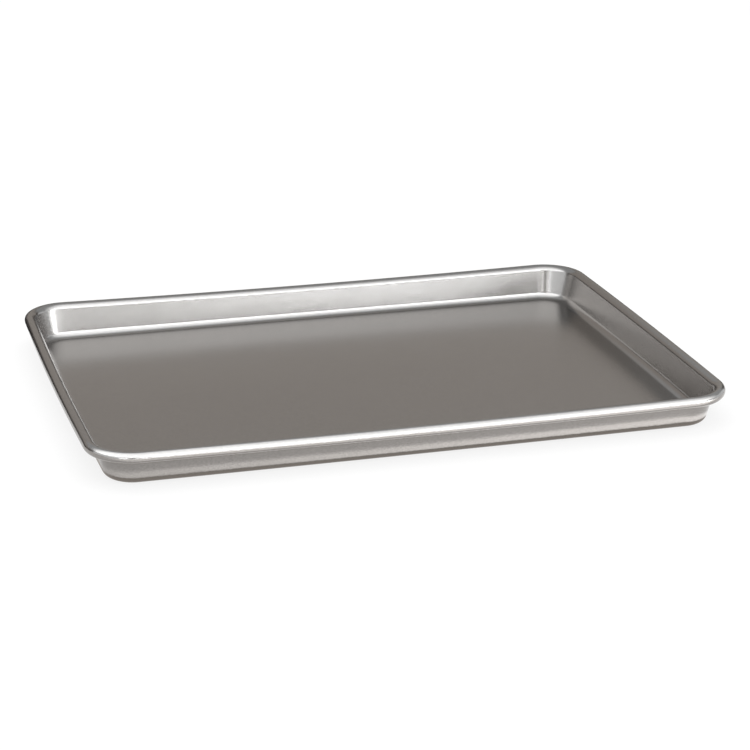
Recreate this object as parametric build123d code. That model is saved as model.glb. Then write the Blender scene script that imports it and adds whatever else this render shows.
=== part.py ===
from build123d import *
import math
import os

# A jelly roll pan is one steel sheet, pressed into a shallow tray, with its rim rolled over a steel wire.
# The origin is on the table, under the middle of the pan. +X runs along the pan, and +Y points to its
# rear long side. The inner face of the sheet is the side that the food lies on.

# The pan, measured over its rolled rim
pan_length = 457
pan_width = 330
pan_height = 27
corner_radius = 33

# The sheet and its bends
sheet_thickness = 0.8
floor_bend_radius = 6
wall_draft = 13
shoulder_radius = 5

# The wire, and the roll that turns down round it from its top
wire_diameter = 5.5
wire_clearance = 0.35
wire_end_gap = 3
roll_turn = 250

quarter_turn = 90
cut_overrun = 1

# The roll, with the wire in its middle
roll_bore_radius = wire_diameter / 2 + wire_clearance
roll_radius = roll_bore_radius + sheet_thickness
roll_height = pan_height - roll_radius

# Sections are drawn from the axis that a corner bends round, outward and up from the table
roll_reach = corner_radius - roll_radius
shoulder_height = pan_height - shoulder_radius
floor_bend_height = sheet_thickness + floor_bend_radius
bend_rise = shoulder_height - floor_bend_height
draft = math.radians(wall_draft)
floor_edge_reach = roll_reach - (
    (shoulder_radius + floor_bend_radius + bend_rise * math.sin(draft)) / math.cos(draft)
)

# The axes of the corners
corner_x = pan_length / 2 - corner_radius
corner_y = pan_width / 2 - corner_radius


def across_wall(middle, distance):
    """A point at a distance from a bend's middle, square to the wall and to the side of the food."""
    return (middle[0] - distance * math.cos(draft), middle[1] + distance * math.sin(draft))


def sheet_section():
    """The sheet cut square across a side, from the edge of the flat floor to its rolled edge."""
    floor_bend = (floor_edge_reach, floor_bend_height)
    shoulder = (roll_reach, shoulder_height)
    roll = (roll_reach, roll_height)
    bend_turn = quarter_turn - wall_draft

    inner_face = [
        CenterArc(floor_bend, floor_bend_radius, -quarter_turn, bend_turn),
        Line(across_wall(floor_bend, -floor_bend_radius), across_wall(shoulder, shoulder_radius)),
        CenterArc(shoulder, shoulder_radius, quarter_turn, bend_turn),
        CenterArc(roll, roll_radius, quarter_turn, -roll_turn),
    ]
    under_radius = floor_bend_radius + sheet_thickness
    hidden_radius = shoulder_radius - sheet_thickness
    under_face = [
        CenterArc(floor_bend, under_radius, -quarter_turn, bend_turn),
        Line(across_wall(floor_bend, -under_radius), across_wall(shoulder, hidden_radius)),
        CenterArc(shoulder, hidden_radius, quarter_turn, bend_turn),
        CenterArc(roll, roll_bore_radius, quarter_turn, -roll_turn),
    ]
    floor_joint = Line((floor_edge_reach, 0), (floor_edge_reach, sheet_thickness))
    rolled_edge = Line(inner_face[-1] @ 1, under_face[-1] @ 1)
    return Plane.XZ * make_face(inner_face + [rolled_edge] + under_face + [floor_joint])


def round_the_pan(section):
    """A section carried once round the pan, bent at each corner and straight along each side."""
    corner = revolve(section, Axis.Z, quarter_turn)
    long_side = extrude(section, 2 * corner_x)
    short_side = extrude(section, 2 * corner_y)
    corners = ((1, 1, short_side), (-1, 1, long_side), (-1, -1, short_side), (1, -1, long_side))
    ring = Part()
    for count, (side_x, side_y, side) in enumerate(corners):
        place = Pos(side_x * corner_x, side_y * corner_y, 0) * Rot(0, 0, count * quarter_turn)
        ring += place * corner + place * side
    return ring


def pan_body():
    """The pressed sheet: flat floor, floor bend, leaning walls, shoulder and roll."""
    floor_outline = RectangleRounded(
        2 * (corner_x + floor_edge_reach), 2 * (corner_y + floor_edge_reach), floor_edge_reach
    )
    return extrude(floor_outline, sheet_thickness) + round_the_pan(sheet_section())


def rim_wire():
    """The wire in the roll. Its two ends almost meet in the middle of the rear long side."""
    wire_section = Plane.XZ * Pos(roll_reach, roll_height) * Circle(wire_diameter / 2)
    cut_size = wire_diameter + 2 * cut_overrun
    end_gap = Pos(0, corner_y + roll_reach, roll_height) * Box(wire_end_gap, cut_size, cut_size)
    return round_the_pan(wire_section) - end_gap


parts = {"pan_body": pan_body(), "rim_wire": rim_wire()}

os.makedirs("parts", exist_ok=True)
for name, shape in parts.items():
    export_step(shape, f"parts/{name}.step")
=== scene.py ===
import math

import bmesh
import bpy
from mathutils import Matrix, Vector


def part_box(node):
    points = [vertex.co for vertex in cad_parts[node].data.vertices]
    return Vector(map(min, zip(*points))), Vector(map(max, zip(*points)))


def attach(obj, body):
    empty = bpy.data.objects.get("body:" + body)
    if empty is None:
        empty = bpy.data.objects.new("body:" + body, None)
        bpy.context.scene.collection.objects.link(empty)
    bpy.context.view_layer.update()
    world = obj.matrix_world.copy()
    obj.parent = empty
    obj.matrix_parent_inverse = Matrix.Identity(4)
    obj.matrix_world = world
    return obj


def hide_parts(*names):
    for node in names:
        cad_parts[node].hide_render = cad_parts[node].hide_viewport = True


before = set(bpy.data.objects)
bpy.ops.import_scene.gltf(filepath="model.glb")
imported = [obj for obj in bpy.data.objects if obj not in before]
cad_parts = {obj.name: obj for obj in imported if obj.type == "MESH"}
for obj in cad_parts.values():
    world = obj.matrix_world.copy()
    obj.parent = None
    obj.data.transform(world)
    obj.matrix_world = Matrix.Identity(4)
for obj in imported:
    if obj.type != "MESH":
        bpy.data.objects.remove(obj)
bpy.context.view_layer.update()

# A jelly roll pan: one pressed steel sheet with a satin metallic coating, its rim rolled over a wire.
# Sizes are in metres. The origin is on the table under the middle of the pan, +X runs along it.

MM = 0.001
DEGREE = math.radians(1)
QUARTER_TURN = math.pi / 2
HALF_TURN = math.pi
BODY = "root"

pan_low, pan_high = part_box("pan_body")
pan_length, pan_width, pan_height = pan_high - pan_low

# The sheet, its bends and the roll, as they are pressed
corner_radius = 33 * MM
sheet_thickness = 0.8 * MM
floor_bend_radius = 6 * MM
wall_draft = math.radians(13)
shoulder_radius = 5 * MM
roll_turn = math.radians(250)
wire_diameter = 5.5 * MM
wire_clearance = 0.35 * MM
wire_end_gap = 3 * MM
roll_radius = wire_diameter / 2 + wire_clearance + sheet_thickness

# What pressing and rolling do to a real pan: its rim sags and draws in, and its short sides bow out
long_side_sag = 1.92 * MM
short_side_sag = 0.46 * MM
long_side_draw_in = 0.76 * MM
long_foot_bow_out = 0.8 * MM
short_side_bow_out = 2.4 * MM

# How finely the surfaces are divided
corner_steps = 24
side_steps = 24
bend_steps = 14
roll_steps = 40
wire_steps = 20
weld_distance = 0.01 * MM
floor_strip = 3 * MM
sharp_edge_angle = math.radians(40)


# Node trees are written as formulas


class Number:
    """A number inside a node tree. Sums of them read like the formula that they stand for."""

    def __init__(self, tree, socket):
        self.tree, self.socket = tree, socket

    def by(self, operation, *others):
        node = add(self.tree, "ShaderNodeMath", dict(enumerate((self, *others))), operation=operation)
        return Number(self.tree, node.outputs[0])

    def __add__(self, other):
        return self.by("ADD", other)

    def __sub__(self, other):
        return self.by("SUBTRACT", other)

    def __mul__(self, other):
        return self.by("MULTIPLY", other)

    def __truediv__(self, other):
        return self.by("DIVIDE", other)

    def __rtruediv__(self, other):
        node = add(self.tree, "ShaderNodeMath", {0: other, 1: self}, operation="DIVIDE")
        return Number(self.tree, node.outputs[0])

    def __neg__(self):
        return self.by("MULTIPLY", -1.0)

    def held(self):
        """The number, held between 0 and 1."""
        return self.by("MAXIMUM", 0.0).by("MINIMUM", 1.0)


def add(tree, kind, inputs=None, **settings):
    """A node with its settings made and its inputs filled: a value is set, and a socket is linked."""
    node = tree.nodes.new(kind)
    for name, value in settings.items():
        setattr(node, name, value)
    for key, value in (inputs or {}).items():
        if isinstance(value, Number):
            value = value.socket
        if isinstance(value, bpy.types.NodeSocket):
            tree.links.new(value, node.inputs[key])
        else:
            node.inputs[key].default_value = value
    return node


def use_group(tree, kind, name, inputs=None):
    """A node that stands for a node group made before it."""
    return add(tree, kind, inputs, node_tree=bpy.data.node_groups[name])


def new_group(name, kind, inputs, outputs):
    """An empty node group. inputs is {name: (socket type, default)}, outputs is {name: socket type}."""
    tree = bpy.data.node_groups.new(name, kind)
    for label, (socket_type, default) in inputs.items():
        socket = tree.interface.new_socket(label, in_out="INPUT", socket_type=socket_type)
        if default is not None:
            socket.default_value = default
    for label, socket_type in outputs.items():
        tree.interface.new_socket(label, in_out="OUTPUT", socket_type=socket_type)
    source = tree.nodes.new("NodeGroupInput").outputs
    return tree, source, tree.nodes.new("NodeGroupOutput")


FLOAT, INTEGER, VECTOR = "NodeSocketFloat", "NodeSocketInt", "NodeSocketVector"
GEOMETRY, MATERIAL = "NodeSocketGeometry", "NodeSocketMaterial"


# The pan's shape


def point(tree, x=0.0, y=0.0, z=0.0):
    return add(tree, "ShaderNodeCombineXYZ", {0: x, 1: y, 2: z}).outputs[0]


def place_on_shape(tree):
    """The x, y and z of each point of a shape."""
    position = tree.nodes.new("GeometryNodeInputPosition").outputs[0]
    axes = add(tree, "ShaderNodeSeparateXYZ", {0: position}).outputs
    return [Number(tree, axis) for axis in axes]


def joined(tree, pieces):
    join = tree.nodes.new("GeometryNodeJoinGeometry")
    for piece in pieces:
        tree.links.new(piece, join.inputs[0])
    return join.outputs[0]


def welded(tree, geometry):
    weld = {"Geometry": geometry, "Distance": weld_distance}
    return add(tree, "GeometryNodeMergeByDistance", weld).outputs[0]


def straight_side(tree, start, end, steps):
    line = add(tree, "GeometryNodeCurvePrimitiveLine", {"Start": start, "End": end}).outputs[0]
    points = add(tree, "ShaderNodeMath", {0: steps, 1: 1.0}, operation="ADD").outputs[0]
    return add(tree, "GeometryNodeResampleCurve", {"Curve": line, "Count": points}).outputs[0]


def way_after(quarters):
    """The way that +X points in after a number of quarter turns, as whole steps along x and y."""
    angle = quarters * QUARTER_TURN
    return float(round(math.cos(angle))), float(round(math.sin(angle)))


def quarter_corner(tree, middle_x, middle_y, reach, quarter, steps):
    """A quarter circle round a corner's axis, as one curve whose ends point along the sides."""
    # The length of a handle, as a share of the radius, that makes the curve a quarter circle
    handle_share = 4 / 3 * math.tan(QUARTER_TURN / 4)
    start_x, start_y = way_after(quarter)
    end_x, end_y = way_after(quarter + 1)
    handle = reach * handle_share
    return add(tree, "GeometryNodeCurvePrimitiveBezierSegment", {
        "Resolution": steps,
        "Start": point(tree, middle_x + reach * start_x, middle_y + reach * start_y),
        "Start Handle": point(tree, handle * end_x, handle * end_y),
        "End Handle": point(tree, handle * start_x, handle * start_y),
        "End": point(tree, middle_x + reach * end_x, middle_y + reach * end_y),
    }, mode="OFFSET").outputs[0]


def path_round_the_pan():
    """The line of a section's axis, once round the pan from the middle of the rear long side."""
    tree, given, out = new_group("Path Round The Pan", "GeometryNodeTree", {
        "Pan Length": (FLOAT, pan_length), "Pan Width": (FLOAT, pan_width),
        "Corner Radius": (FLOAT, corner_radius), "Reach": (FLOAT, corner_radius),
        "End Gap": (FLOAT, 0.0),
        "Corner Steps": (INTEGER, corner_steps), "Side Steps": (INTEGER, side_steps),
    }, {"Curve": GEOMETRY})
    lengths = ("Pan Length", "Pan Width", "Corner Radius", "Reach", "End Gap")
    size = {name: Number(tree, given[name]) for name in lengths}
    reach = size["Reach"]
    x = size["Pan Length"] * 0.5 - size["Corner Radius"]
    y = size["Pan Width"] * 0.5 - size["Corner Radius"]
    outer_x, outer_y = x + reach, y + reach
    gap = size["End Gap"] * 0.5
    steps = given["Side Steps"]
    half_steps = add(tree, "ShaderNodeMath", {0: steps, 1: 0.5}, operation="MULTIPLY").outputs[0]
    pieces = [
        straight_side(tree, point(tree, x, outer_y), point(tree, gap, outer_y), half_steps),
        straight_side(tree, point(tree, -gap, outer_y), point(tree, -x, outer_y), half_steps),
        straight_side(tree, point(tree, -outer_x, y), point(tree, -outer_x, -y), steps),
        straight_side(tree, point(tree, -x, -outer_y), point(tree, x, -outer_y), steps),
        straight_side(tree, point(tree, outer_x, -y), point(tree, outer_x, y), steps),
    ]
    corners = ((x, y), (-x, y), (-x, -y), (x, -y))
    for quarter, (middle_x, middle_y) in enumerate(corners):
        pieces.append(quarter_corner(tree, middle_x, middle_y, reach, quarter, given["Corner Steps"]))
    flat = {"Curve": joined(tree, pieces)}
    level = add(tree, "GeometryNodeSetCurveNormal", flat, mode="Z_UP").outputs[0]
    tree.links.new(level, out.inputs["Curve"])
    return tree


def warp_sizes():
    """What the pressed pan gives way by, as inputs of the node groups that need it."""
    return {
        "Pan Length": pan_length, "Pan Width": pan_width, "Pan Height": pan_height,
        "Long Side Sag": long_side_sag, "Short Side Sag": short_side_sag,
        "Long Side Draw In": long_side_draw_in, "Long Foot Bow Out": long_foot_bow_out,
        "Short Side Bow Out": short_side_bow_out,
    }


def sag_and_bow():
    """The rim's sag, and the sides' bow, which are greatest at the middle of a side."""
    tree, given, out = new_group("Sag And Bow", "GeometryNodeTree", {
        "Geometry": (GEOMETRY, None), **{name: (FLOAT, value) for name, value in warp_sizes().items()},
    }, {"Geometry": GEOMETRY})
    size = {name: Number(tree, given[name]) for name in warp_sizes()}
    x, y, z = place_on_shape(tree)
    x_share, y_share = x / (size["Pan Length"] * 0.5), y / (size["Pan Width"] * 0.5)
    height_share = z / size["Pan Height"]
    along = (-(x_share * x_share) + 1.0).by("MAXIMUM", 0.0)
    across = (-(y_share * y_share) + 1.0).by("MAXIMUM", 0.0)
    bow_out = (-height_share + 1.0) * size["Long Foot Bow Out"]
    draw_in = height_share * size["Long Side Draw In"]
    sag = along * size["Long Side Sag"] + across * size["Short Side Sag"]
    move = point(
        tree,
        x_share * across * size["Short Side Bow Out"],
        y_share * along * (bow_out - draw_in),
        -(height_share * sag),
    )
    moved = add(tree, "GeometryNodeSetPosition", {"Geometry": given["Geometry"], "Offset": move})
    tree.links.new(moved.outputs[0], out.inputs["Geometry"])
    return tree


def marked(tree, curve, bend):
    """Notes on each point of a section whether it was bent, for the finish to read."""
    note = {"Geometry": curve, "Name": "bend", "Value": bend}
    return add(tree, "GeometryNodeStoreNamedAttribute", note).outputs[0]


def section_arc(tree, middle, radius, start_angle, turn, steps):
    """An arc of the section, from its axis' middle. In a section x is outward and y is down."""
    arc = add(tree, "GeometryNodeCurveArc", {
        "Resolution": steps, "Radius": radius, "Start Angle": -start_angle, "Sweep Angle": -turn,
    }).outputs[0]
    placed = {"Geometry": arc, "Translation": point(tree, middle[0], -middle[1])}
    return marked(tree, add(tree, "GeometryNodeTransform", placed).outputs[0], 1.0)


def section_line(tree, start, end):
    ends = {"Start": point(tree, start[0], -start[1]), "End": point(tree, end[0], -end[1])}
    return marked(tree, add(tree, "GeometryNodeCurvePrimitiveLine", ends).outputs[0], 0.0)


def finish_piece(tree, geometry, given, out):
    """Lets a swept piece sag and bow, and gives it its material."""
    shape = use_group(tree, "GeometryNodeGroup", "Sag And Bow", {"Geometry": geometry})
    for name in warp_sizes():
        tree.links.new(given[name], shape.inputs[name])
    whole = add(tree, "GeometryNodeRealizeInstances", {"Geometry": shape.outputs[0]}).outputs[0]
    painted = {"Geometry": whole, "Material": given["Material"]}
    tree.links.new(add(tree, "GeometryNodeSetMaterial", painted).outputs[0], out.inputs["Geometry"])


def pressed_sheet_tree():
    """The middle face of the sheet: the section carried round the pan, and the flat floor inside it."""
    lengths = {
        **warp_sizes(), "Corner Radius": corner_radius, "Sheet Thickness": sheet_thickness,
        "Floor Bend Radius": floor_bend_radius, "Wall Draft": wall_draft,
        "Shoulder Radius": shoulder_radius, "Roll Radius": roll_radius, "Roll Turn": roll_turn,
        "Floor Strip": floor_strip,
    }
    steps = {"Corner Steps": corner_steps, "Side Steps": side_steps,
             "Bend Steps": bend_steps, "Roll Steps": roll_steps}
    tree, given, out = new_group("Pressed Sheet", "GeometryNodeTree", {
        **{name: (FLOAT, value) for name, value in lengths.items()},
        **{name: (INTEGER, value) for name, value in steps.items()},
        "Material": (MATERIAL, None),
    }, {"Geometry": GEOMETRY})
    size = {name: Number(tree, given[name]) for name in lengths}
    half_sheet = size["Sheet Thickness"] * 0.5
    draft, height = size["Wall Draft"], size["Pan Height"]
    sine, cosine = draft.by("SINE"), draft.by("COSINE")
    bend, shoulder, roll = size["Floor Bend Radius"], size["Shoulder Radius"], size["Roll Radius"]

    # Heights and places as seen from the roll's middle, outward and up from the table
    shoulder_height = height - shoulder
    bend_height = size["Sheet Thickness"] + bend
    rise = shoulder_height - bend_height
    floor_edge = -((shoulder + bend + rise * sine) / cosine)
    bend_turn = -draft + QUARTER_TURN
    wall_start = (
        floor_edge + (bend + half_sheet) * cosine,
        bend_height - (bend + half_sheet) * sine,
    )
    wall_end = (
        -((shoulder - half_sheet) * cosine),
        shoulder_height + (shoulder - half_sheet) * sine,
    )
    section = joined(tree, [
        section_line(tree, (floor_edge - size["Floor Strip"], half_sheet), (floor_edge, half_sheet)),
        section_arc(tree, (floor_edge, bend_height), bend + half_sheet,
                    -QUARTER_TURN, bend_turn, given["Bend Steps"]),
        section_line(tree, wall_start, wall_end),
        section_arc(tree, (0.0, shoulder_height), shoulder - half_sheet,
                    -draft + HALF_TURN, -bend_turn, given["Bend Steps"]),
        section_arc(tree, (0.0, height - roll), roll - half_sheet,
                    QUARTER_TURN, -size["Roll Turn"], given["Roll Steps"]),
    ])

    path = use_group(tree, "GeometryNodeGroup", "Path Round The Pan")
    for name in ("Pan Length", "Pan Width", "Corner Radius", "Corner Steps", "Side Steps"):
        tree.links.new(given[name], path.inputs[name])
    tree.links.new((size["Corner Radius"] - roll).socket, path.inputs["Reach"])
    swept = {"Curve": path.outputs[0], "Profile Curve": section}
    ring = welded(tree, add(tree, "GeometryNodeCurveToMesh", swept).outputs[0])

    # The ring's lowest open edge is the outline of the flat floor
    joined_edge_faces = 2.0
    edge_faces = Number(tree, tree.nodes.new("GeometryNodeInputMeshEdgeNeighbors").outputs[0])
    level = place_on_shape(tree)[2]
    open_edge = edge_faces.by("LESS_THAN", joined_edge_faces)
    floor_rim = open_edge * level.by("LESS_THAN", size["Sheet Thickness"])
    outline = add(tree, "GeometryNodeSeparateGeometry",
                  {"Geometry": ring, "Selection": floor_rim}, domain="EDGE").outputs[0]
    outline = add(tree, "GeometryNodeMeshToCurve", {"Mesh": outline}).outputs[0]
    floor = add(tree, "GeometryNodeFillCurve", {"Curve": outline}, mode="NGONS").outputs[0]
    floor = add(tree, "GeometryNodeTransform",
                {"Geometry": floor, "Translation": point(tree, z=half_sheet)}).outputs[0]
    finish_piece(tree, welded(tree, joined(tree, [ring, floor])), given, out)
    return tree


def rim_wire_tree():
    """The wire in the roll, from one side of the gap between its ends round to the other."""
    lengths = {
        **warp_sizes(), "Corner Radius": corner_radius, "Roll Radius": roll_radius,
        "Wire Diameter": wire_diameter, "End Gap": wire_end_gap,
    }
    steps = {"Corner Steps": corner_steps, "Side Steps": side_steps, "Wire Steps": wire_steps}
    tree, given, out = new_group("Rim Wire", "GeometryNodeTree", {
        **{name: (FLOAT, value) for name, value in lengths.items()},
        **{name: (INTEGER, value) for name, value in steps.items()},
        "Material": (MATERIAL, None),
    }, {"Geometry": GEOMETRY})
    size = {name: Number(tree, given[name]) for name in lengths}
    circle = add(tree, "GeometryNodeCurvePrimitiveCircle",
                 {"Resolution": given["Wire Steps"], "Radius": size["Wire Diameter"] * 0.5}).outputs[0]
    turn = tree.nodes.new("GeometryNodeSplineParameter").outputs["Factor"]
    circle = add(tree, "GeometryNodeStoreNamedAttribute",
                 {"Geometry": circle, "Name": "turn", "Value": turn}).outputs[0]
    path = use_group(tree, "GeometryNodeGroup", "Path Round The Pan")
    for name in ("Pan Length", "Pan Width", "Corner Radius", "End Gap", "Corner Steps", "Side Steps"):
        tree.links.new(given[name], path.inputs[name])
    tree.links.new((size["Corner Radius"] - size["Roll Radius"]).socket, path.inputs["Reach"])
    swept = {"Curve": path.outputs[0], "Profile Curve": circle}
    wire = welded(tree, add(tree, "GeometryNodeCurveToMesh", swept).outputs[0])
    lifted = {"Geometry": wire, "Translation": point(tree, z=size["Pan Height"] - size["Roll Radius"])}
    wire = add(tree, "GeometryNodeTransform", lifted).outputs[0]
    finish_piece(tree, wire, given, out)
    return tree


def made_by(tree, name, material):
    """A new piece whose mesh the node tree makes. The modifier is gone once the mesh is plain."""
    piece = bpy.data.objects.new(name, bpy.data.meshes.new(name))
    bpy.context.scene.collection.objects.link(piece)
    modifier = piece.modifiers.new("shape", "NODES")
    modifier.node_group = tree
    for socket in tree.interface.items_tree:
        if socket.name == "Material":
            modifier[socket.identifier] = material
    settle(piece)
    return piece


def settle(piece):
    """Turns a piece and its modifiers into one plain mesh."""
    evaluated = piece.evaluated_get(bpy.context.evaluated_depsgraph_get())
    mesh = bpy.data.meshes.new_from_object(evaluated)
    piece.modifiers.clear()
    piece.data = mesh
    mesh.name = piece.name


def reworked(piece, change):
    """Runs change on the piece's mesh data."""
    data = bmesh.new()
    data.from_mesh(piece.data)
    change(data)
    data.to_mesh(piece.data)
    data.free()


def food_side_up(data):
    """Makes the faces agree, with the floor's face looking up."""
    bmesh.ops.remove_doubles(data, verts=data.verts, dist=weld_distance)
    bmesh.ops.recalc_face_normals(data, faces=data.faces)
    floor = max(data.faces, key=lambda face: face.calc_area())
    if floor.normal.z < 0:
        bmesh.ops.reverse_faces(data, faces=data.faces)


def close_wire_ends(data):
    open_edges = [edge for edge in data.edges if edge.is_boundary]
    bmesh.ops.holes_fill(data, edges=open_edges, sides=0)
    bmesh.ops.recalc_face_normals(data, faces=data.faces)


def smooth_but_edges(data):
    """Smooth faces, with the cut edges of the sheet or the wire left sharp."""
    for face in data.faces:
        face.smooth = True
    for edge in data.edges:
        edge.smooth = edge.calc_face_angle(0.0) < sharp_edge_angle


def make_pan(material):
    pan = made_by(pressed_sheet_tree(), "pan_sheet", material)
    reworked(pan, food_side_up)
    wall = pan.modifiers.new("sheet", "SOLIDIFY")
    wall.thickness = sheet_thickness
    wall.offset = 0
    wall.use_even_offset = True
    settle(pan)
    reworked(pan, smooth_but_edges)
    return pan


def make_wire(material):
    wire = made_by(rim_wire_tree(), "rim_wire_drawn", material)
    reworked(wire, close_wire_ends)
    reworked(wire, smooth_but_edges)
    return wire


# Finishes

# The baked coating: its colour and gloss, and how much clouds, smudges and bends change them; the lighter
# bends are partly a painted highlight
coating_colour = (0.285, 0.269, 0.256)
coating_roughness = 0.2
clouds_per_metre, cloud_lightness = 14.0, 0.05
smudges_per_metre, smudge_roughness = 30.0, 0.05
# How much lighter every bend is: a painted highlight along the bends, with the film also thinner there
bend_highlight_and_thinning = 0.03

# The film's surface, and the flakes in it
peel_size, peel_height = 1.4 * MM, 0.06 * MM
wave_size, wave_height = 70 * MM, 0.008 * MM
flake_size, flake_lightness = 0.7 * MM, 0.12

# The wire: its zinc skin, and the lines that drawing leaves along it
zinc_colour = (0.60, 0.61, 0.60)
zinc_roughness = 0.3
spangle_size, spangle_lightness = 1.4 * MM, 0.16
lines_round_the_wire, line_depth = 90.0, 0.01 * MM
line_lightness, line_roughness = 0.12, 0.1


def noise(tree, vector, scale, detail, roughness=0.5):
    node = add(tree, "ShaderNodeTexNoise",
               {"Vector": vector, "Scale": scale, "Detail": detail, "Roughness": roughness})
    return Number(tree, node.outputs[0])


def object_place(tree):
    return tree.nodes.new("ShaderNodeTexCoord").outputs["Object"]


def varied(middle, number, spread):
    """A value about a middle one, for a number that runs from 0 to 1 over the surface."""
    return (number - 0.5) * spread + middle


def orange_peel():
    """The tiny unevenness of a sprayed and baked film, and the slight waviness of pressed sheet."""
    tree, given, out = new_group("Baked Film Surface", "ShaderNodeTree", {
        "Vector": (VECTOR, None),
        "Peel Size": (FLOAT, peel_size), "Peel Height": (FLOAT, peel_height),
        "Wave Size": (FLOAT, wave_size), "Wave Height": (FLOAT, wave_height),
    }, {"Height": FLOAT})
    peel = noise(tree, given["Vector"], 1.0 / Number(tree, given["Peel Size"]), detail=1.5)
    wave = noise(tree, given["Vector"], 1.0 / Number(tree, given["Wave Size"]), detail=1.0)
    height = peel * Number(tree, given["Peel Height"]) + wave * Number(tree, given["Wave Height"])
    tree.links.new(height.socket, out.inputs["Height"])
    return tree


def metal_flakes():
    """Fine metallic flakes that each catch a little more or less light."""
    tree, given, out = new_group("Metal Flakes", "ShaderNodeTree", {
        "Vector": (VECTOR, None),
        "Flake Size": (FLOAT, flake_size), "Strength": (FLOAT, flake_lightness),
    }, {"Factor": FLOAT})
    cells = add(tree, "ShaderNodeTexVoronoi",
                {"Vector": given["Vector"], "Scale": 1.0 / Number(tree, given["Flake Size"])})
    shade = add(tree, "ShaderNodeSeparateColor", {0: cells.outputs["Color"]}).outputs[0]
    factor = varied(1.0, Number(tree, shade), Number(tree, given["Strength"]))
    tree.links.new(factor.socket, out.inputs["Factor"])
    return tree


def new_material(name):
    material = bpy.data.materials.new(name)
    material.use_nodes = True
    tree = material.node_tree
    tree.nodes.clear()
    output = tree.nodes.new("ShaderNodeOutputMaterial")
    return material, tree, output


def tinted(tree, colour, lightness):
    """A colour made lighter and darker by a number that varies over the surface."""
    red, green, blue = colour
    channels = {0: lightness * red, 1: lightness * green, 2: lightness * blue}
    return add(tree, "ShaderNodeCombineColor", channels).outputs[0]


def coated_sheet():
    """Warm grey metallic baked coating: satin, with fine flakes, and lighter on the bends, where a
    highlight is painted and the film is thinner.
    """
    material, tree, output = new_material("coated_sheet")
    place = object_place(tree)
    bend = Number(tree, add(tree, "ShaderNodeAttribute", attribute_name="bend").outputs["Fac"])
    flakes = use_group(tree, "ShaderNodeGroup", "Metal Flakes", {"Vector": place})
    cloud = noise(tree, place, clouds_per_metre, detail=3.0)
    lightness = Number(tree, flakes.outputs[0]) * varied(1.0, cloud, cloud_lightness)
    # Painted highlight: every bend is made a little lighter, besides the thinner film there
    lightness = lightness * (bend * bend_highlight_and_thinning + (1.0 - bend_highlight_and_thinning / 2))
    smudge = noise(tree, place, smudges_per_metre, detail=4.0, roughness=0.6)
    surface = use_group(tree, "ShaderNodeGroup", "Baked Film Surface", {"Vector": place})
    bump = add(tree, "ShaderNodeBump", {"Height": surface.outputs[0], "Strength": 1.0, "Distance": 1.0})
    shader = add(tree, "ShaderNodeBsdfPrincipled", {
        "Base Color": tinted(tree, coating_colour, lightness), "Metallic": 1.0,
        "Roughness": varied(coating_roughness, smudge, smudge_roughness), "Normal": bump.outputs[0],
    })
    tree.links.new(shader.outputs[0], output.inputs[0])
    return material


def zinc_wire():
    """Drawn wire with a zinc skin: fine lines along it, and spangle."""
    material, tree, output = new_material("zinc_wire")
    turn = add(tree, "ShaderNodeAttribute", attribute_name="turn").outputs["Fac"]
    lines = noise(tree, point(tree, turn), lines_round_the_wire, detail=3.0)
    spangle = {
        "Vector": object_place(tree), "Flake Size": spangle_size, "Strength": spangle_lightness,
    }
    flakes = use_group(tree, "ShaderNodeGroup", "Metal Flakes", spangle)
    lightness = lines * line_lightness + (1.0 - line_lightness / 2)
    lightness = Number(tree, flakes.outputs[0]) * lightness
    bump = add(tree, "ShaderNodeBump", {"Height": lines * line_depth, "Strength": 1.0, "Distance": 1.0})
    shader = add(tree, "ShaderNodeBsdfPrincipled", {
        "Base Color": tinted(tree, zinc_colour, lightness), "Metallic": 1.0,
        "Roughness": lines * line_roughness + zinc_roughness, "Normal": bump.outputs[0],
    })
    tree.links.new(shader.outputs[0], output.inputs[0])
    return material


# The studio. The metal mirrors a tent, panels and cards that nothing else sees

cool_white = (0.95, 1.0, 1.04)
plain_white = (1.0, 1.0, 1.0)
warm_grey = (1.06, 1.0, 0.94)

# The white table, what the world adds to its light, and the lamp that casts the pan's shadow
table_half = 6.0
table_paper = (0.8, 0.8, 0.8)
table_glow_share = 0.8
sky_on_table = 1.3
lamp_place, lamp_size, lamp_power = (-0.4, -0.4, 2.0), 2.0, 14.0

# The tent, and the softbox that hangs in it
tent_radius = 5.0
tent_front, tent_back, tent_below = 0.4, 0.08, 0.9
softbox_height = 0.5
softbox_left, softbox_right, softbox_front, softbox_back = -1.2, 1.2, -1.2, 0.8
softbox_glow, softbox_least = 1.9, 0.68
softbox_fall_right, softbox_fall_back, softbox_twist = 2.2, 2.4, 4.0
softbox_fade_start, softbox_fade_end = 0.0, 0.3

# How far from the pan's middle the panels stand and the cards reach
panel_distance = 3.0
card_reach = 2.5

# The cards on the table, and how far from the rim's outline each begins
card_lift = 0.5 * MM
front_card_gap, right_card_gap, back_flag_gap = 16 * MM, 15 * MM, 10 * MM
right_card_overhang = 5 * MM
front_card_glow, front_card_slope, front_card_most = 1.9, 1.5, 2.4
right_card_glow, back_flag_glow = 1.25, 0.03

# The rings on the table, from one inset of the rim's outline to the next
wall_light_inset, foot_light_inset, foot_shade_inset, foot_shade_end = -16 * MM, 3 * MM, 8 * MM, 35 * MM
wall_light_glow, wall_light_slope = 1.0, 0.5
foot_light_glow, foot_light_front, foot_light_slope = 0.95, 1.0, 2.2
foot_light_depth, foot_light_fade = 40 * MM, 30 * MM
foot_shade_glow = 0.55


def seen_directly(tree):
    """1 for what the camera, a mirror or glass sees, and 0 for what only lights the scene."""
    path = tree.nodes.new("ShaderNodeLightPath").outputs
    seen = Number(tree, path["Is Camera Ray"]).by("MAXIMUM", path["Is Glossy Ray"])
    return seen.by("MAXIMUM", path["Is Transmission Ray"])


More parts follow.
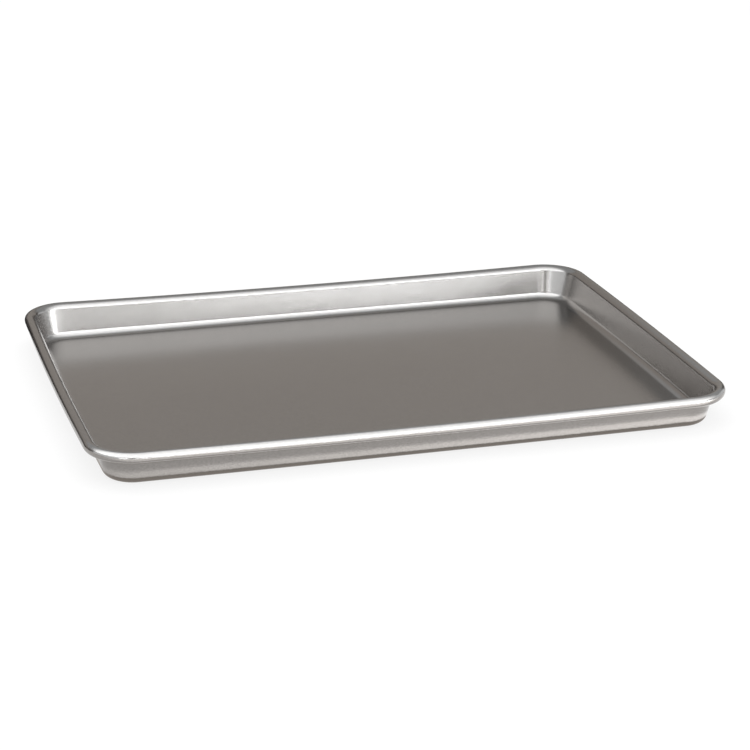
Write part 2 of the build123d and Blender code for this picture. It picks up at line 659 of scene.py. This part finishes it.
def stage_piece(name, points, faces, material):
    mesh = bpy.data.meshes.new(name)
    mesh.from_pydata(points, [], faces)
    mesh.materials.append(material)
    piece = bpy.data.objects.new(name, mesh)
    bpy.context.scene.collection.objects.link(piece)
    return piece


def rectangle_on_table(left, front, right, back, z=0.0):
    return [(left, front, z), (right, front, z), (right, back, z), (left, back, z)]


def white_table():
    """White paper that mostly glows, so that only the soft shadow near the pan shows on it."""
    material, tree, output = new_material("white_table")
    paper = add(tree, "ShaderNodeBsdfDiffuse", {"Color": (*table_paper, 1.0)})
    light = add(tree, "ShaderNodeEmission", {"Color": (*plain_white, 1.0), "Strength": 1.0})
    share = seen_directly(tree) * table_glow_share
    blend = add(tree, "ShaderNodeMixShader", {0: share, 1: paper.outputs[0], 2: light.outputs[0]})
    tree.links.new(blend.outputs[0], output.inputs[0])
    corners = rectangle_on_table(-table_half, -table_half, table_half, table_half)
    stage_piece("table", corners, [(0, 1, 2, 3)], material)


def white_world():
    """White where it is seen, and brighter where it only lights the table."""
    world = bpy.data.worlds.new("white_world")
    world.use_nodes = True
    tree = world.node_tree
    tree.nodes.clear()
    strength = seen_directly(tree) * (1.0 - sky_on_table) + sky_on_table
    sky = add(tree, "ShaderNodeBackground", {"Color": (*plain_white, 1.0), "Strength": strength})
    output = tree.nodes.new("ShaderNodeOutputWorld")
    tree.links.new(sky.outputs[0], output.inputs[0])
    bpy.context.scene.world = world


def table_lamp():
    """The lamp that lights the table from above, and casts the pan's soft shadow."""
    lamp = bpy.data.lights.new("table_lamp", "AREA")
    lamp.shape = "SQUARE"
    lamp.size = lamp_size
    lamp.energy = lamp_power
    piece = bpy.data.objects.new("table_lamp", lamp)
    piece.location = lamp_place
    piece.visible_camera = False
    piece.visible_glossy = False
    bpy.context.scene.collection.objects.link(piece)


def glow(name, colour, strength_formula):
    """A glowing finish. strength_formula gives the strength at x, y and z on the piece."""
    material, tree, output = new_material(name)
    place = add(tree, "ShaderNodeSeparateXYZ", {0: object_place(tree)}).outputs
    strength = strength_formula(*(Number(tree, axis) for axis in place))
    shader = add(tree, "ShaderNodeEmission", {"Color": (*colour, 1.0), "Strength": strength})
    tree.links.new(shader.outputs[0], output.inputs[0])
    return material


def evenly(strength):
    """The strength formula of a finish that glows alike all over."""
    return lambda x, y, z: strength


def only_in_reflections(piece):
    piece.visible_camera = False
    piece.visible_diffuse = False
    piece.visible_transmission = False
    piece.visible_volume_scatter = False
    piece.visible_shadow = False


def tent():
    """A wide round tent, dim behind the pan and brighter in front of it and below the table."""
    def strength(x, y, z):
        above = (-y / tent_radius + 1.0) * 0.5 * (tent_front - tent_back) + tent_back
        return z.by("LESS_THAN", 0.0) * tent_below + above

    data = bmesh.new()
    bmesh.ops.create_icosphere(data, subdivisions=4, radius=tent_radius)
    data.verts.ensure_lookup_table()
    points = [vertex.co[:] for vertex in data.verts]
    faces = [[vertex.index for vertex in face.verts] for face in data.faces]
    data.free()
    only_in_reflections(stage_piece("tent", points, faces, glow("tent_cloth", warm_grey, strength)))


def overhead_softbox():
    """A low softbox over the table, brightest at its front right and dimmest along its back."""
    def strength(x, y, z):
        slope = -(x * softbox_fall_right) - y * softbox_fall_back - x * y * softbox_twist
        fade = ((-y + softbox_fade_end) / (softbox_fade_end - softbox_fade_start)).held()
        return (slope + softbox_glow).by("MAXIMUM", 0.0) * fade + softbox_least

    corners = rectangle_on_table(softbox_left, softbox_front, softbox_right, softbox_back, softbox_height)
    cloth = glow("softbox_cloth", cool_white, strength)
    only_in_reflections(stage_piece("overhead_softbox", corners, [(0, 1, 2, 3)], cloth))


def panel(name, colour, strength, bearing, half_width, low, top):
    """An upright panel far from the pan, placed by angles in degrees as the pan's middle sees them.

    The bearing runs from the front over the right, and low and top are its edges above the table.
    """
    bearing, half_width, low, top = (angle * DEGREE for angle in (bearing, half_width, low, top))
    away = Vector((math.sin(bearing), -math.cos(bearing), math.tan(low))) * panel_distance
    aside = Vector((math.cos(bearing), math.sin(bearing), 0)) * (panel_distance * math.tan(half_width))
    up = Vector((0, 0, panel_distance * (math.tan(top) - math.tan(low))))
    corners = [away - aside, away + aside, away + aside + up, away - aside + up]
    cloth = glow(f"{name}_cloth", colour, evenly(strength))
    only_in_reflections(stage_piece(name, corners, [(0, 1, 2, 3)], cloth))


def card(name, colour, strength_formula, left, front, right, back):
    """A card that lies on the table beside the pan."""
    corners = rectangle_on_table(left, front, right, back, card_lift)
    cloth = glow(f"{name}_paper", colour, strength_formula)
    only_in_reflections(stage_piece(name, corners, [(0, 1, 2, 3)], cloth))


def rounded_outline(inset, steps=8):
    """The rim's outline on the table, drawn in by inset."""
    radius = max(corner_radius - inset, 0.0)
    points = []
    for quarter, (side_x, side_y) in enumerate(((1, 1), (-1, 1), (-1, -1), (1, -1))):
        middle_x = side_x * (pan_length / 2 - inset - radius)
        middle_y = side_y * (pan_width / 2 - inset - radius)
        for step in range(steps + 1):
            angle = (quarter + step / steps) * QUARTER_TURN
            x = middle_x + radius * math.cos(angle)
            y = middle_y + radius * math.sin(angle)
            points.append((x, y, card_lift))
    return points


def ring(name, colour, strength_formula, outside, inside):
    """A ring on the table along the pan, between two insets of the rim's outline."""
    rings = [rounded_outline(inset) for inset in (outside, inside)]
    count = len(rings[0])
    faces = []
    for step in range(count):
        following = (step + 1) % count
        faces.append((step, following, following + count, step + count))
    cloth = glow(f"{name}_paper", colour, strength_formula)
    only_in_reflections(stage_piece(name, rings[0] + rings[1], faces, cloth))


def panels_round_the_pan():
    panel("front_strip", cool_white, strength=8.3, bearing=35, half_width=32, low=0, top=5.6)
    panel("front_panel", cool_white, strength=7.6, bearing=24, half_width=21, low=15, top=23.5)
    panel("right_front_panel", cool_white, strength=1.8, bearing=33, half_width=14, low=5.6, top=8)
    panel("narrow_front_lamp", cool_white, strength=10.0, bearing=-5, half_width=4, low=0, top=9)
    panel("left_front_lamp", cool_white, strength=7.0, bearing=-31, half_width=10, low=0, top=9)
    panel("left_panel", cool_white, strength=1.6, bearing=-68, half_width=36, low=0, top=40)
    panel("right_front_lamp", cool_white, strength=12.0, bearing=51, half_width=9, low=0, top=8)
    panel("right_panel", cool_white, strength=1.3, bearing=95, half_width=28, low=0, top=30)
    panel("back_panel", warm_grey, strength=0.52, bearing=187, half_width=49, low=11, top=33)


def cards_beside_the_pan():
    half_x, half_y = pan_length / 2, pan_width / 2

    def brighter_to_the_right(x, y, z):
        return (x * front_card_slope + front_card_glow).by("MINIMUM", front_card_most)

    card("front_card", plain_white, brighter_to_the_right, left=-card_reach, right=card_reach,
         front=-half_y - card_reach, back=-half_y - front_card_gap)
    card("right_card", plain_white, evenly(right_card_glow), left=half_x + right_card_gap,
         right=card_reach, front=-half_y - right_card_overhang, back=half_y)
    card("back_flag", warm_grey, evenly(back_flag_glow), left=-card_reach, right=card_reach,
         front=half_y + back_flag_gap, back=half_y + card_reach)


def rings_along_the_pan():
    """Rings for the outer faces of the walls and the bend at their foot to mirror."""
    def wall_glow(x, y, z):
        return x * wall_light_slope + wall_light_glow

    def foot_glow(x, y, z):
        front = ((-y - pan_width / 2 + foot_light_depth) / foot_light_fade).held()
        return front * (x * foot_light_slope + foot_light_front) + foot_light_glow

    ring("wall_light", plain_white, wall_glow, outside=wall_light_inset, inside=foot_light_inset)
    ring("foot_light", plain_white, foot_glow, outside=foot_light_inset, inside=foot_shade_inset)
    ring("foot_shade", warm_grey, evenly(foot_shade_glow),
         outside=foot_shade_inset, inside=foot_shade_end)


# The photograph's camera, as it was fitted to the pan's outline

camera_azimuth = math.radians(-16.87)
camera_elevation = math.radians(20.04)
camera_roll = math.radians(0.69)
camera_distance = 1633.86 * MM
camera_shift_right, camera_shift_up = 10.42 * MM, 4.31 * MM
photo_side_pixels, focal_length_pixels = 750, 2199.4
sensor_width_mm = 36
nearest_seen, farthest_seen = 0.01, 50


def camera_at_photo():
    """The photograph's view, from the front left and above the rim."""
    sine, cosine = math.sin(camera_azimuth), math.cos(camera_azimuth)
    level = math.cos(camera_elevation)
    back = Vector((sine * level, -cosine * level, math.sin(camera_elevation)))
    level_right = Vector((cosine, sine, 0))
    level_up = back.cross(level_right)
    right = math.cos(camera_roll) * level_right + math.sin(camera_roll) * level_up
    up = -math.sin(camera_roll) * level_right + math.cos(camera_roll) * level_up
    place = camera_distance * back + camera_shift_right * right + camera_shift_up * up
    lens = bpy.data.cameras.new("camera")
    lens.sensor_width = sensor_width_mm
    lens.lens = lens.sensor_width * (focal_length_pixels / photo_side_pixels)
    lens.clip_start, lens.clip_end = nearest_seen, farthest_seen
    camera = bpy.data.objects.new("camera", lens)
    camera.matrix_world = Matrix((
        (right.x, up.x, back.x, place.x),
        (right.y, up.y, back.y, place.y),
        (right.z, up.z, back.z, place.z),
        (0, 0, 0, 1),
    ))
    bpy.context.scene.collection.objects.link(camera)
    bpy.context.scene.camera = camera


path_round_the_pan()
sag_and_bow()
orange_peel()
metal_flakes()

pan = make_pan(coated_sheet())
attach(pan, BODY)
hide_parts("pan_body")

wire = make_wire(zinc_wire())
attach(wire, BODY)
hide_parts("rim_wire")

white_table()
white_world()
table_lamp()
tent()
overhead_softbox()
panels_round_the_pan()
cards_beside_the_pan()
rings_along_the_pan()
camera_at_photo()
bpy.context.scene.view_settings.view_transform = "Standard"
